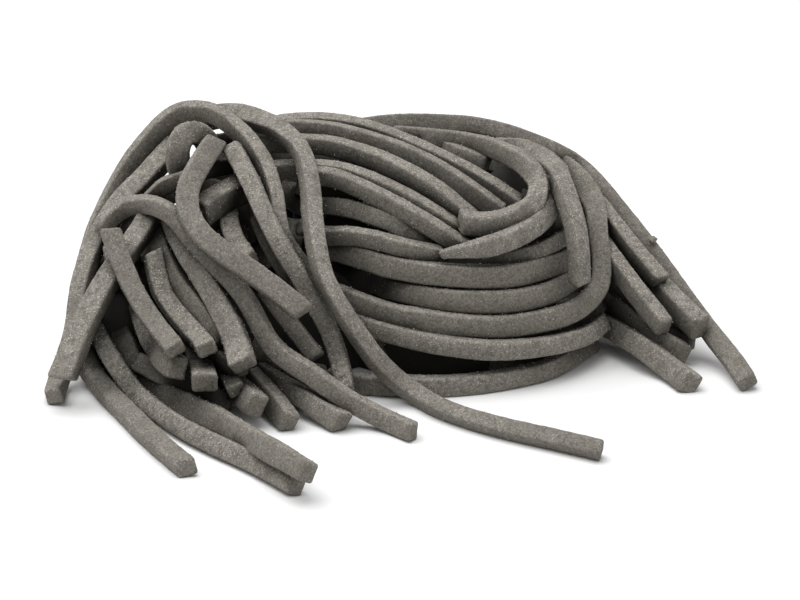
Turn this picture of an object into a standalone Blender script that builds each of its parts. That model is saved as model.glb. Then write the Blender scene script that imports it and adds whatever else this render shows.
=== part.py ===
import math

import bmesh
import bpy
import numpy as np
from mathutils import Matrix

# A loose nest of square-cut pasta strands, floured, draped over itself.
# Routes are traced on the reference picture: (across px, down px, y mm).
# Every size is in millimetres until the mesh is made in metres.

MM = 0.001
NODE = "node"

# How the reference picture looks at the table.
VIEW_ELEVATION_DEG = 20.0
VIEW_DISTANCE = 450.0
VIEW_AIM_HEIGHT = 12.0
PICTURE_CENTRE_PX = (400.0, 300.0)
MM_PER_PX = 0.136

# The cut of the strands.
STRAND_WIDTH = 2.9
STRAND_THICKNESS = 2.5
CUT_WOBBLE = 0.08
SECTION_SIDES = 4
ON_TABLE = None
TABLE_CENTRE_HEIGHT = 1.2
TABLE_CUT_SIZE = 180.0

# How the routes settle against each other.
SAMPLE_STEP = 2.0
CONTACT_GAP = 2.45
REACH_GAP = 2.4
SETTLE_STEPS = 260
BEND_PULL = 0.45
ROUTE_PULL = 0.02
CONTACT_PULL = 0.05
CONTACT_PUSH = 0.5

# How coarsely a strand is faceted.
LONGEST_FACET = 5.2
SHARPEST_TURN_DEG = 22.0

# The hidden half of the coil: rings up its back, then rings over its top.
COIL_CENTRE = (5.0, 21.0)
COIL_RADIUS = (21.5, 23.5)
COIL_LAYERS = 8
COIL_LAYER_RISE = 2.9
COIL_START_DEG = 212.0
COIL_SWEEP_DEG = 205.0
COIL_WANDER = 1.2
COIL_TOP_HEIGHT = 23.0
COIL_TOP_SCALES = (0.84, 0.70, 0.56, 0.40)
SEED = 2

# The hidden strands that hang down behind the arch.
DRAPE_COUNT = 8
DRAPE_FIRST_X = -34.0
DRAPE_LAST_X = -13.0
DRAPE_TOP = (6.0, 18.5)
DRAPE_KNEE = (14.0, 11.0)
DRAPE_FOOT_Y = 17.5
DRAPE_FLARE = 0.2

# The solid middle: centre x, centre y, radius x, radius y, height, turn in degrees.
CORE_LUMPS = (
    (5.0, 21.5, 20.0, 21.5, 22.0, 0.0),
    (-14.0, 10.0, 13.0, 9.0, 18.0, 7.0),
    (-25.0, 7.0, 11.0, 8.5, 16.0, 13.0),
)
CORE_SIDES = 20
CORE_RINGS = 6
CORE_SINK = 0.7

# Moves the nest's footprint onto the origin.
FOOTPRINT_SHIFT = (-0.46, -1.65, 0.0)

# Roll in degrees (0 turns a flat side to the picture), then the route.
ARCH_ROUTES = {
    "outer_arch": (30, (
        (80, 262, 14), (98, 215, 17), (128, 155, 21), (168, 114, 23), (190, 109, 23),
        (215, 115, 21), (238, 132, 18), (256, 155, 12), (276, 205, 5), (300, 262, 1),
        (318, 285, 0))),
    "long_drape": (38, (
        (57, 393, ON_TABLE), (70, 318, 0), (83, 262, 7), (112, 205, 14), (148, 152, 20),
        (195, 115, 26), (240, 112, 21), (285, 138, 15), (306, 185, 8), (314, 245, 0),
        (337, 302, -6), (376, 356, -8), (430, 401, ON_TABLE), (510, 429, ON_TABLE),
        (597, 450, ON_TABLE))),
    "broken_drape": (10, (
        (231, 143, 13), (250, 192, 5), (277, 250, -2), (312, 300, -4), (330, 330, -5),
        (341, 372, -6), (345, 392, -9))),
    "back_drape": (10, ((258, 215, 8), (268, 240, 5), (282, 265, 3), (300, 290, 1))),
    "lit_leg": (30, (
        (172, 196, 9), (145, 232, 5), (105, 280, -1), (90, 310, -4), (65, 377, -9))),
    "flat_leg": (-10, (
        (111, 230, 1), (128, 278, -4), (157, 325, -10), (173, 345, -12))),
    "small_arch": (20, (
        (98, 245, 9), (108, 222, 6), (130, 206, 5), (152, 205, 4), (172, 215, 2),
        (203, 252, -1), (241, 292, -5), (268, 340, -9), (305, 371, -12),
        (355, 404, -16), (412, 433, ON_TABLE))),
    "crescent": (-15, (
        (240, 128, 22), (208, 150, 11), (188, 190, 3), (198, 230, -3), (250, 270, -7),
        (303, 313, -10))),
    "hook": (20, (
        (212, 145, 13), (206, 135, 14), (195, 130, 15), (183, 133, 14), (178, 147, 11),
        (179, 163, 8), (190, 182, 8))),
    "under_hook": (10, ((147, 195, 11), (160, 184, 11), (180, 174, 10), (228, 168, 13))),
    "inner_left": (10, ((238, 180, 8), (208, 202, 3), (204, 222, 1))),
    "inner_right": (10, ((232, 190, 10), (228, 220, 4), (247, 257, -1))),
}

FRONT_ROUTES = {
    "thick_front": (25, (
        (172, 222, 6), (185, 250, 1), (210, 288, -5), (235, 328, -11), (254, 362, -16))),
    "dark_front": (20, ((160, 240, 5), (178, 283, 0), (222, 345, -8))),
    "bright_end": (20, ((156, 262, 1), (160, 290, -2), (186, 325, -9), (205, 345, -13))),
    "twin_end": (25, ((190, 335, -5), (226, 360, -12), (243, 369, -15))),
    "low_end": (10, (
        (126, 285, 1), (137, 325, -3), (160, 357, -8), (180, 371, -11))),
    "block_end": (0, ((193, 335, -5), (203, 370, -13), (206, 385, -16))),
    "dim_end": (0, ((215, 350, -3), (228, 375, -9), (237, 391, -13))),
    "floor_end": (20, ((222, 372, -6), (238, 392, -11), (262, 410, -16))),
    "under_end": (25, ((250, 368, -6), (275, 395, -12), (291, 428, ON_TABLE))),
    "round_end": (20, ((258, 370, -6), (303, 396, -12), (340, 421, ON_TABLE))),
    "peeking_end": (10, ((255, 345, -1), (280, 370, -6))),
    "dark_end": (10, ((265, 290, 0), (296, 331, -6), (317, 358, -8))),
    "left_foot": (35, (
        (112, 290, 3), (88, 340, -3), (100, 375, -6), (132, 418, ON_TABLE),
        (186, 468, ON_TABLE))),
    "speckled_foot": (15, (
        (122, 285, 4), (106, 325, 0), (122, 368, -3), (148, 403, ON_TABLE),
        (195, 438, ON_TABLE), (297, 487, ON_TABLE))),
    "smooth_foot": (15, (
        (138, 280, 5), (124, 325, 1), (141, 376, -3), (158, 391, -8), (215, 421, -21),
        (308, 472, -42))),
}

COIL_ROUTES = {
    "top_1": (20, (
        (262, 124, 27), (300, 118, 27), (360, 122, 28), (420, 146, 24), (480, 174, 20),
        (520, 203, 17))),
    "top_2": (20, (
        (285, 126, 23), (330, 127, 24), (360, 134, 23), (420, 162, 19), (480, 199, 14),
        (503, 214, 13))),
    "top_3": (20, (
        (245, 133, 24), (270, 143, 20), (330, 146, 19), (385, 163, 16), (435, 196, 11),
        (463, 217, 9))),
    "top_4": (35, (
        (262, 176, 14), (282, 168, 14), (345, 176, 13), (405, 206, 9), (456, 239, 6))),
    "top_5": (15, ((312, 204, 12), (350, 207, 10), (408, 228, 6), (432, 244, 5))),
    "top_6": (15, ((312, 230, 9), (345, 230, 6), (405, 245, 3), (440, 251, 4))),
    "small_top": (10, ((400, 130, 33), (440, 147, 27), (490, 167, 24))),
    "front_7": (18, (
        (310, 245, 5), (355, 255, 2), (430, 271, -1), (510, 275, 1), (568, 258, 8),
        (588, 240, 14))),
    "front_8": (20, (
        (345, 272, 2), (400, 291, -2), (480, 303, -2), (550, 292, 3), (585, 272, 11))),
    "front_loop": (18, (
        (490, 128, 44), (540, 140, 38), (588, 182, 24), (598, 235, 14), (601, 282, 8),
        (570, 312, 2), (505, 325, -3), (425, 317, -4), (350, 295, -1))),
    "front_9": (20, (
        (325, 285, 2), (360, 312, -3), (415, 334, -6), (490, 347, -6), (565, 343, -1),
        (600, 320, 7))),
    "dark_10": (10, ((350, 335, 4), (410, 352, 2), (500, 361, 2), (560, 350, 7))),
    "table_loop": (20, (
        (322, 372, ON_TABLE), (352, 381, ON_TABLE), (425, 385, ON_TABLE),
        (505, 378, ON_TABLE), (568, 360, ON_TABLE), (597, 338, ON_TABLE))),
    "hairpin": (25, (
        (395, 130, 32), (440, 138, 29), (505, 153, 22), (537, 185, 14), (512, 217, 8),
        (463, 225, 5))),
    "under_hairpin": (25, (
        (556, 178, 17), (549, 202, 12), (505, 238, 4), (445, 257, 0), (415, 256, 2))),
    "wedge_1": (10, ((568, 215, 14), (530, 238, 9), (490, 256, 7))),
    "wedge_2": (10, ((572, 232, 12), (530, 250, 8), (485, 264, 6))),
}

RIGHT_ROUTES = {
    "over_coil": (20, (
        (450, 127, 38), (515, 142, 30), (556, 185, 14), (565, 215, 8), (581, 275, 3))),
    "thin_right": (10, ((555, 155, 29), (572, 178, 22), (590, 220, 15))),
    "right_3": (20, (
        (450, 126, 42), (520, 137, 36), (585, 180, 24), (618, 222, 18), (663, 276, 10))),
    "right_4": (20, ((648, 248, 19), (675, 280, 15), (704, 318, 12))),
    "right_5": (12, (
        (330, 133, 38), (400, 121, 43), (440, 121, 44), (520, 134, 40), (595, 183, 29),
        (650, 248, 19), (700, 318, 9), (748, 382, ON_TABLE))),
    "right_1": (20, ((590, 225, 20), (615, 262, 13), (648, 306, 8), (666, 328, 5))),
    "right_2": (10, ((625, 250, 20), (655, 288, 15), (698, 332, 12))),
    "right_7": (15, (
        (578, 256, 22), (600, 282, 17), (624, 306, 13), (668, 345, ON_TABLE), (692, 354, ON_TABLE))),
    "right_6": (15, (
        (560, 312, 19), (590, 325, 16), (625, 337, 13), (670, 366, ON_TABLE), (692, 381, ON_TABLE))),
}


def clear_scene():
    for item in list(bpy.data.objects):
        bpy.data.objects.remove(item, do_unlink=True)


def make_collection(name):
    collection = bpy.data.collections.new(name)
    bpy.context.scene.collection.children.link(collection)
    return collection


def view_axes():
    tilt = math.radians(VIEW_ELEVATION_DEG)
    across = np.array([1.0, 0.0, 0.0])
    up = np.array([0.0, math.sin(tilt), math.cos(tilt)])
    forward = np.array([0.0, math.cos(tilt), -math.sin(tilt)])
    eye = np.array([0.0, 0.0, VIEW_AIM_HEIGHT]) - VIEW_DISTANCE * forward
    return eye, across, up, forward


def traced_point(eye, across, up, forward, mark):
    px, py, depth = mark
    ray = forward * VIEW_DISTANCE
    ray = ray + across * (px - PICTURE_CENTRE_PX[0]) * MM_PER_PX
    ray = ray + up * (PICTURE_CENTRE_PX[1] - py) * MM_PER_PX
    if depth is ON_TABLE:
        return eye + ray * (TABLE_CENTRE_HEIGHT - eye[2]) / ray[2]
    return eye + ray * (depth - eye[1]) / ray[1]


def smooth_route(points, step):
    points = np.asarray(points)
    before = 2 * points[0] - points[1]
    after = 2 * points[-1] - points[-2]
    padded = np.vstack([before, points, after])
    fine = []
    for i in range(1, len(padded) - 2):
        p0, p1, p2, p3 = padded[i - 1:i + 3]
        k0 = math.sqrt(np.linalg.norm(p1 - p0)) + 1e-9
        k1 = math.sqrt(np.linalg.norm(p2 - p1)) + 1e-9
        k2 = math.sqrt(np.linalg.norm(p3 - p2)) + 1e-9
        m1 = (p2 - p1) + k1 * ((p1 - p0) / k0 - (p2 - p0) / (k0 + k1))
        m2 = (p2 - p1) + k1 * ((p3 - p2) / k2 - (p3 - p1) / (k1 + k2))
        for s in np.linspace(0.0, 1.0, 12, endpoint=False):
            a = 2 * (p1 - p2) + m1 + m2
            b = -3 * (p1 - p2) - 2 * m1 - m2
            fine.append(a * s ** 3 + b * s ** 2 + m1 * s + p1)
    fine.append(padded[-2])
    return even_route(np.array(fine), step)


def even_route(points, step):
    lengths = np.linalg.norm(np.diff(points, axis=0), axis=1)
    along = np.concatenate([[0.0], np.cumsum(lengths)])
    count = max(3, int(round(along[-1] / step)) + 1)
    marks = np.linspace(0.0, along[-1], count)
    return np.stack([np.interp(marks, along, points[:, k]) for k in range(3)], axis=1)


def coil_routes(rng):
    rings = []
    for layer in range(COIL_LAYERS):
        height = TABLE_CENTRE_HEIGHT + layer * COIL_LAYER_RISE
        rings.append((1.0 - 0.015 * layer, height))
    for scale in COIL_TOP_SCALES:
        rings.append((scale, COIL_TOP_HEIGHT + 2.0 * (1.0 - scale)))
    return [coil_route(rng, scale, height) for scale, height in rings]


def coil_route(rng, scale, height):
    start = math.radians(COIL_START_DEG + rng.uniform(-12.0, 12.0))
    sweep = math.radians(COIL_SWEEP_DEG + rng.uniform(-15.0, 10.0))
    phase = rng.uniform(0.0, 2 * math.pi)
    points = []
    for s in np.linspace(0.0, 1.0, 9):
        angle = start - sweep * s
        wander = COIL_WANDER * math.sin(3 * angle + phase)
        x = COIL_CENTRE[0] + (COIL_RADIUS[0] * scale + wander) * math.cos(angle)
        y = COIL_CENTRE[1] + (COIL_RADIUS[1] * scale + wander) * math.sin(angle)
        z = max(TABLE_CENTRE_HEIGHT, height + 0.8 * math.sin(2 * angle + phase))
        points.append((x, y, z))
    return smooth_route(points, SAMPLE_STEP)


def drape_routes(rng):
    routes = []
    for x in np.linspace(DRAPE_FIRST_X, DRAPE_LAST_X, DRAPE_COUNT):
        lean = DRAPE_FLARE * (x - COIL_CENTRE[0] + 20.0) + rng.uniform(-1.5, 1.5)
        reach = rng.uniform(-2.0, 2.0)
        points = (
            (x, DRAPE_TOP[0], DRAPE_TOP[1] - 1.5),
            (x, 0.5 * (DRAPE_TOP[0] + DRAPE_KNEE[0]), 0.6 * DRAPE_TOP[1] + 0.4 * DRAPE_KNEE[1]),
            (x + 0.4 * lean, DRAPE_KNEE[0] + 0.5 * reach, DRAPE_KNEE[1]),
            (x + lean, DRAPE_FOOT_Y + reach, TABLE_CENTRE_HEIGHT))
        routes.append(smooth_route(points, SAMPLE_STEP))
    return routes


def contact_pairs(picture, owner):
    first, second = [], []
    for i in range(len(picture) - 1):
        offset = picture[i + 1:] - picture[i]
        near = np.nonzero(np.sum(offset ** 2, axis=1) < CONTACT_GAP ** 2)[0] + i + 1
        near = near[owner[near] != owner[i]]
        first.extend([i] * len(near))
        second.extend(near.tolist())
    return np.array(first), np.array(second)


def contact_order(first, second, owner, distance):
    order = np.zeros(len(first))
    groups = {}
    for k in range(len(first)):
        key = (owner[first[k]], owner[second[k]])
        groups.setdefault(key, []).append(k)
    for members in groups.values():
        members = np.array(members)
        members = members[np.argsort(first[members], kind="stable")]
        breaks = np.nonzero(np.diff(first[members]) > 3)[0] + 1
        for run in np.split(members, breaks):
            lead = np.mean(distance[second[run]] - distance[first[run]])
            order[run] = 1.0 if lead >= 0 else -1.0
    return order


def settle(routes, eye, forward):
    points = np.vstack(routes)
    owner = np.concatenate([[i] * len(r) for i, r in enumerate(routes)])
    rays = points - eye
    distance = np.linalg.norm(rays, axis=1)
    rays = rays / distance[:, None]
    drawn = distance.copy()
    depth = rays @ forward
    picture = rays[:, [0, 2]] / depth[:, None] * VIEW_DISTANCE
    picture[:, 1] /= math.cos(math.radians(VIEW_ELEVATION_DEG))
    to_table = (TABLE_CENTRE_HEIGHT - eye[2]) / rays[:, 2]
    first, second = contact_pairs(picture, owner)
    order = contact_order(first, second, owner, distance)
    apart = np.sum((picture[first] - picture[second]) ** 2, axis=1)
    need = np.sqrt(np.maximum(CONTACT_GAP ** 2 - apart, 0.0))
    crossing = apart < (0.5 * CONTACT_GAP) ** 2
    starts = np.cumsum([0] + [len(r) for r in routes])
    for _ in range(SETTLE_STEPS):
        eased = distance.copy()
        for a, b in zip(starts[:-1], starts[1:]):
            eased[a:b] = ease_bend(distance[a:b])
        distance = distance + BEND_PULL * (eased - distance)
        distance = distance + ROUTE_PULL * (drawn - distance)
        gap = (distance[second] - distance[first]) * order
        short = need - gap
        push = np.where(short > 0, CONTACT_PUSH * short, 0.0)
        close = crossing & (short < 0) & (short > -REACH_GAP)
        push = np.where(close, CONTACT_PULL * short, push) * order * 0.5
        active = (push != 0).astype(float)
        total = np.zeros(len(distance))
        count = np.zeros(len(distance))
        np.add.at(total, first, -push)
        np.add.at(total, second, push)
        np.add.at(count, first, active)
        np.add.at(count, second, active)
        distance = distance + total / np.maximum(np.sqrt(count), 1.0)
        distance = np.minimum(distance, to_table)
    settled = eye + rays * distance[:, None]
    return [settled[a:b] for a, b in zip(starts[:-1], starts[1:])]


def ease_bend(values):
    if len(values) < 5:
        return values
    head = 2 * values[0] - values[1]
    tail = 2 * values[-1] - values[-2]
    long = np.concatenate([[2 * head - values[0], head], values, [tail, 2 * tail - values[-1]]])
    near = long[1:-3] + long[3:-1]
    far = long[:-4] + long[4:]
    return (4 * near - far) / 6


def coarse_marks(points):
    steps = np.diff(points, axis=0)
    lengths = np.linalg.norm(steps, axis=1)
    steps = steps / lengths[:, None]
    marks = [0]
    run = 0.0
    heading = steps[0]
    for i in range(1, len(points) - 1):
        run += lengths[i - 1]
        turn = math.degrees(math.acos(np.clip(np.dot(heading, steps[i]), -1.0, 1.0)))
        if run >= LONGEST_FACET or turn > SHARPEST_TURN_DEG:
            marks.append(i)
            run = 0.0
            heading = steps[i]
    if run < 0.4 * LONGEST_FACET and len(marks) > 2:
        marks.pop()
    marks.append(len(points) - 1)
    return marks


def section_axes(point, tangent, roll, eye):
    to_eye = eye - point
    facing = to_eye - tangent * np.dot(to_eye, tangent)
    facing = facing / np.linalg.norm(facing)
    side = np.cross(facing, tangent)
    turned_side = side * math.cos(roll) + facing * math.sin(roll)
    turned_face = facing * math.cos(roll) - side * math.sin(roll)
    return turned_side, turned_face


def strand_mesh(name, points, roll_deg, eye, rng):
    marks = coarse_marks(points)
    kept = points[marks]
    tangents = np.gradient(points, axis=0)[marks]
    tangents = tangents / np.linalg.norm(tangents, axis=1)[:, None]
    roll = math.radians(roll_deg)
    corners = ((1, 1), (-1, 1), (-1, -1), (1, -1))
    verts = []
    for point, tangent in zip(kept, tangents):
        side, face = section_axes(point, tangent, roll, eye)
        for a, b in corners:
            corner = point + side * a * STRAND_WIDTH / 2 + face * b * STRAND_THICKNESS / 2
            corner = corner + rng.uniform(-CUT_WOBBLE, CUT_WOBBLE, 3)
            verts.append(corner * MM)
    faces = []
    last = len(kept) - 1
    for i in range(last):
        for k in range(SECTION_SIDES):
            a = i * SECTION_SIDES + k
            b = i * SECTION_SIDES + (k + 1) % SECTION_SIDES
            faces.append((a, b, b + SECTION_SIDES, a + SECTION_SIDES))
    faces.append(tuple(range(SECTION_SIDES - 1, -1, -1)))
    faces.append(tuple(last * SECTION_SIDES + k for k in range(SECTION_SIDES)))
    return solid_from(name, verts, faces)


def lump_mesh(name, lump):
    centre_x, centre_y, radius_x, radius_y, height, turn = lump
    shape = bmesh.new()
    bmesh.ops.create_uvsphere(
        shape, u_segments=CORE_SIDES, v_segments=2 * CORE_RINGS, radius=MM)
    spin = Matrix.Rotation(math.radians(turn), 4, "Z")
    size = Matrix.Diagonal((radius_x, radius_y, height, 1.0))
    place = Matrix.Translation((centre_x * MM, centre_y * MM, -CORE_SINK * MM))
    bmesh.ops.transform(shape, matrix=place @ size @ spin, verts=shape.verts[:])
    return object_from(name, shape)


def solid_from(name, verts, faces):
    shape = bmesh.new()
    corners = [shape.verts.new(v) for v in verts]
    for face in faces:
        shape.faces.new([corners[k] for k in face])
    return object_from(name, shape)


def object_from(name, shape):
    bmesh.ops.triangulate(shape, faces=shape.faces[:])
    bmesh.ops.recalc_face_normals(shape, faces=shape.faces[:])
    mesh = bpy.data.meshes.new(name)
    shape.to_mesh(mesh)
    shape.free()
    return bpy.data.objects.new(name, mesh)


def table_cutter():
    shape = bmesh.new()
    bmesh.ops.create_cube(shape, size=TABLE_CUT_SIZE * MM)
    drop = (0.0, 0.0, -0.5 * TABLE_CUT_SIZE * MM)
    bmesh.ops.translate(shape, verts=shape.verts[:], vec=drop)
    cutter = object_from("table_cutter", shape)
    cutter.hide_render = True
    cutter.display_type = "WIRE"
    return cutter


def apply_boolean(base, operation, tools):
    step = base.modifiers.new(operation.lower(), "BOOLEAN")
    step.operation = operation
    step.operand_type = "COLLECTION"
    step.collection = tools
    step.solver = "MANIFOLD"
    bpy.context.view_layer.update()
    shown = base.evaluated_get(bpy.context.evaluated_depsgraph_get())
    result = bpy.data.meshes.new_from_object(shown)
    base.modifiers.clear()
    base.data = result
    for item in list(tools.objects):
        bpy.data.objects.remove(item, do_unlink=True)
    bpy.data.collections.remove(tools)


def keep_largest(mesh):
    shape = bmesh.new()
    shape.from_mesh(mesh)
    unseen = set(shape.verts)
    islands = []
    while unseen:
        seed = unseen.pop()
        island = {seed}
        front = [seed]
        while front:
            vert = front.pop()
            for edge in vert.link_edges:
                other = edge.other_vert(vert)
                if other in unseen:
                    unseen.discard(other)
                    island.add(other)
                    front.append(other)
        islands.append(island)
    islands.sort(key=len, reverse=True)
    for island in islands[1:]:
        bmesh.ops.delete(shape, geom=list(island), context="VERTS")
    bmesh.ops.triangulate(shape, faces=shape.faces[:])
    bmesh.ops.translate(shape, verts=shape.verts[:], vec=[v * MM for v in FOOTPRINT_SHIFT])
    print("loose scraps dropped:", [len(island) for island in islands[1:]])
    print("triangles:", len(shape.faces), "volume mm3:", round(shape.calc_volume() / MM ** 3))
    shape.to_mesh(mesh)
    shape.free()


def pasta_material():
    material = bpy.data.materials.new("floured_grey_pasta")
    material.use_nodes = True
    shader = material.node_tree.nodes["Principled BSDF"]
    shader.inputs["Base Color"].default_value = (0.27, 0.25, 0.22, 1.0)
    shader.inputs["Roughness"].default_value = 0.8
    return material


def build():
    clear_scene()
    nest = make_collection("pasta_nest")
    pieces = make_collection("strands")
    eye, across, up, forward = view_axes()
    traced = {**ARCH_ROUTES, **FRONT_ROUTES, **COIL_ROUTES, **RIGHT_ROUTES}
    names = list(traced)
    routes = []
    for name in names:
        marks = [traced_point(eye, across, up, forward, m) for m in traced[name][1]]
        routes.append(smooth_route(marks, SAMPLE_STEP))
    routes = settle(routes, eye, forward)
    rng = np.random.default_rng(SEED)
    for name, route in zip(names, routes):
        pieces.objects.link(strand_mesh(name, route, traced[name][0], eye, rng))
    for index, route in enumerate(coil_routes(rng) + drape_routes(rng)):
        pieces.objects.link(strand_mesh(f"hidden_{index}", route, 0.0, eye, rng))
    for index, lump in enumerate(CORE_LUMPS[1:]):
        pieces.objects.link(lump_mesh(f"lump_{index}", lump))
    node = lump_mesh(NODE, CORE_LUMPS[0])
    nest.objects.link(node)
    apply_boolean(node, "UNION", pieces)
    cutters = make_collection("cutters")
    cutters.objects.link(table_cutter())
    apply_boolean(node, "DIFFERENCE", cutters)
    keep_largest(node.data)
    node.data.materials.clear()
    node.data.materials.append(pasta_material())
    report_box(node.data)


def report_box(mesh):
    verts = np.array([v.co[:] for v in mesh.vertices]) / MM
    print("box mm:", verts.min(axis=0).round(2), verts.max(axis=0).round(2))


build()
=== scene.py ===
import math
import bpy
import numpy as np
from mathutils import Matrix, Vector, noise
from mathutils.bvhtree import BVHTree


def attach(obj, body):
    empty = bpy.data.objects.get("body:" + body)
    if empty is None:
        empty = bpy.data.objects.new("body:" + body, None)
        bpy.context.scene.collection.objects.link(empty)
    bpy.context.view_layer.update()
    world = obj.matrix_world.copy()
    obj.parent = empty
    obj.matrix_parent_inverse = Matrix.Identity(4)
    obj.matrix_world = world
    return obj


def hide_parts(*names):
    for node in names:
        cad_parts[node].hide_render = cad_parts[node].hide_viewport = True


# A loose nest of floured square-cut pasta, seen on a pale table.
# Lengths are in millimetres until a mesh is made.

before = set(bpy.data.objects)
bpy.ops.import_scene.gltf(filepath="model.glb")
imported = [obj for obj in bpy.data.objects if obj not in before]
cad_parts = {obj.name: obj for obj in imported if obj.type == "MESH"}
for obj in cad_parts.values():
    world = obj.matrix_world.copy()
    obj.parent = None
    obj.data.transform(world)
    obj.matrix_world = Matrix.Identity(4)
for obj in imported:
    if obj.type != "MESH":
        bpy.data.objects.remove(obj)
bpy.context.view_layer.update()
mm = 0.001
onTable = None

# how the picture looks at the table
picture = {
    "elevationDeg": 20.0,
    "distance": 450.0,
    "aimHeight": 12.0,
    "centrePx": (400.0, 300.0),
    "mmPerPx": 0.136,
    "widthPx": 800.0,
    "sensorWidth": 36.0,
    "footprintShift": (-0.46, -1.65, 0.0),
}

# roll in degrees and size against the usual cut run evenly along a strand, flour is for its
# broad and its narrow sides in turn, leastOpen cuts the painted shade on a part that would turn
# too dark, and a route is traced as (across px, down px, y mm); usualLook stands in for what is
# left out
usualLook = {"roll": (0,), "size": (1,), "flour": (0, 0.1), "leastOpen": (0,)}
archRoutes = {
    "outerArch": {
        "roll": (5, 15, 32, 65, 80), "size": (1.15, 1.12, 0.95, 0.95, 1), "flour": (0.2, 1),
        "route": ((88, 262, 14), (97, 233, 16), (109, 205, 19), (120, 183, 21), (133, 161, 22),
            (149, 140, 23), (164, 124, 23), (178, 114, 23), (192, 111, 22), (208, 112, 21),
            (223, 119, 19), (236, 129, 17), (247, 140, 14), (256, 152, 12), (264, 165, 10),
            (269, 178, 8), (274, 194, 6), (277, 213, 4), (281, 232, 3), (290, 249, 2),
            (302, 265, 1), (318, 285, 0))},
    "longDrape": {
        "roll": (-32, -34), "size": (0.94, 0.97, 1.12, 1.08, 0.96, 0.94, 0.94, 0.94, 0.94),
        "flour": (0.9, 0.2, 0.9, 0.2, 0.9, 0.2, 0.5, 0.2, 0.1, 0.2),
        "route": ((54, 397, onTable), (59, 380, -1), (66, 360, -1), (74, 335, 0), (78, 310, 2),
            (81, 288, 4), (88, 262, 7), (97, 241, 9), (107, 223, 11), (122, 202, 14),
            (142, 182, 17), (162, 160, 20), (182, 138, 23), (201, 122, 25), (221, 116, 25),
            (240, 116, 23), (253, 119, 21), (265, 123, 19), (276, 128, 17), (286, 135, 15),
            (295, 143, 13), (302, 154, 11), (306, 165, 9), (309, 180, 7), (311, 196, 5),
            (312, 213, 2), (314, 230, 0), (317, 250, -3), (322, 272, -5), (331, 292, -6),
            (344, 314, -7), (358, 335, -8), (374, 357, -8), (393, 377, -9), (414, 393, onTable),
            (440, 408, onTable), (470, 419, onTable), (510, 430, onTable), (555, 440, onTable),
            (602, 451, onTable))},
    "brokenDrape": {
        "roll": (8,), "size": (0.98, 0.94), "flour": (0.9, 0.8),
        "route": ((231, 146, 12), (238, 158, 10), (245, 171, 8), (252, 185, 5), (259, 201, 3),
            (267, 218, 1), (277, 238, -1), (287, 256, -2), (298, 273, -3), (314, 301, -4),
            (328, 328, -5), (337, 352, -6), (342, 372, -7), (345, 392, -9))},
    "backDrape": {
        "roll": (10,), "size": (0.9,), "flour": (0.2, 0.5),
        "route": ((258, 215, 8), (268, 240, 5), (282, 265, 3), (300, 290, 1))},
    "litLeg": {
        "roll": (25,), "size": (1.15, 1.3), "flour": (0.8, 0.3),
        "route": ((156, 206, 9), (141, 232, 5), (125, 255, 2), (108, 280, -1), (94, 305, -3),
            (80, 334, -6), (71, 357, -8), (62, 379, -10))},
    "flatLeg": {
        "roll": (-8,), "size": (0.98,), "flour": (0.15, 0.9),
        "route": ((110, 229, 1), (117, 250, -1), (128, 278, -3), (141, 303, -5), (156, 325, -7),
            (168, 340, -10), (176, 350, -14))},
    "smallArch": {
        "roll": (28, 20), "size": (0.95, 0.9, 0.95, 0.95), "flour": (0.3, 1),
        "route": ((101, 232, 8), (110, 219, 10), (122, 209, 11), (136, 205, 9), (150, 205, 6.5),
            (162, 209, 4), (176, 218, 2), (188, 234, 1), (203, 252, -1), (221, 270, -3),
            (241, 292, -5), (256, 318, -7), (268, 340, -9), (285, 358, -11), (306, 371, -12),
            (330, 388, -14), (355, 404, -16), (384, 419, onTable), (414, 432, onTable))},
    "crescent": {
        "roll": (-6, -12), "size": (1.15, 1.1), "flour": (0.1, 0.9),
        "route": ((215, 141, 12), (208, 152, 10), (198, 168, 6), (189, 187, 3), (188, 208, 0),
            (198, 230, -3), (222, 252, -6), (250, 271, -7), (280, 293, -9), (304, 313, -10))},
    "hook": {
        "roll": (8, -8), "size": (1.3,), "flour": (0.7, 0.7),
        "route": ((209, 148, 16), (205, 140, 15), (198, 134, 14), (189, 133, 13), (181, 139, 12),
            (178, 150, 11), (178, 160, 11), (181, 172, 12))},
    "underHook": {
        "roll": (14, 10), "size": (0.86,), "flour": (0.05, 0.5),
        "route": ((147, 204, 12), (155, 195, 12), (165, 186, 11), (180, 180, 10), (205, 171, 12),
            (234, 165, 14))},
    "innerLeft": {
        "roll": (-38,), "size": (1.42,), "flour": (0.5, 1),
        "route": ((252, 183, 13), (236, 191, 10), (219, 200, 7), (200, 213, 3))},
    "innerRight": {
        "roll": (-10,), "size": (1.05,), "flour": (0.7, 0.5),
        "route": ((234, 186, 11), (228, 206, 8), (229, 224, 5), (236, 243, 2), (250, 262, -1))},
}

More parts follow.
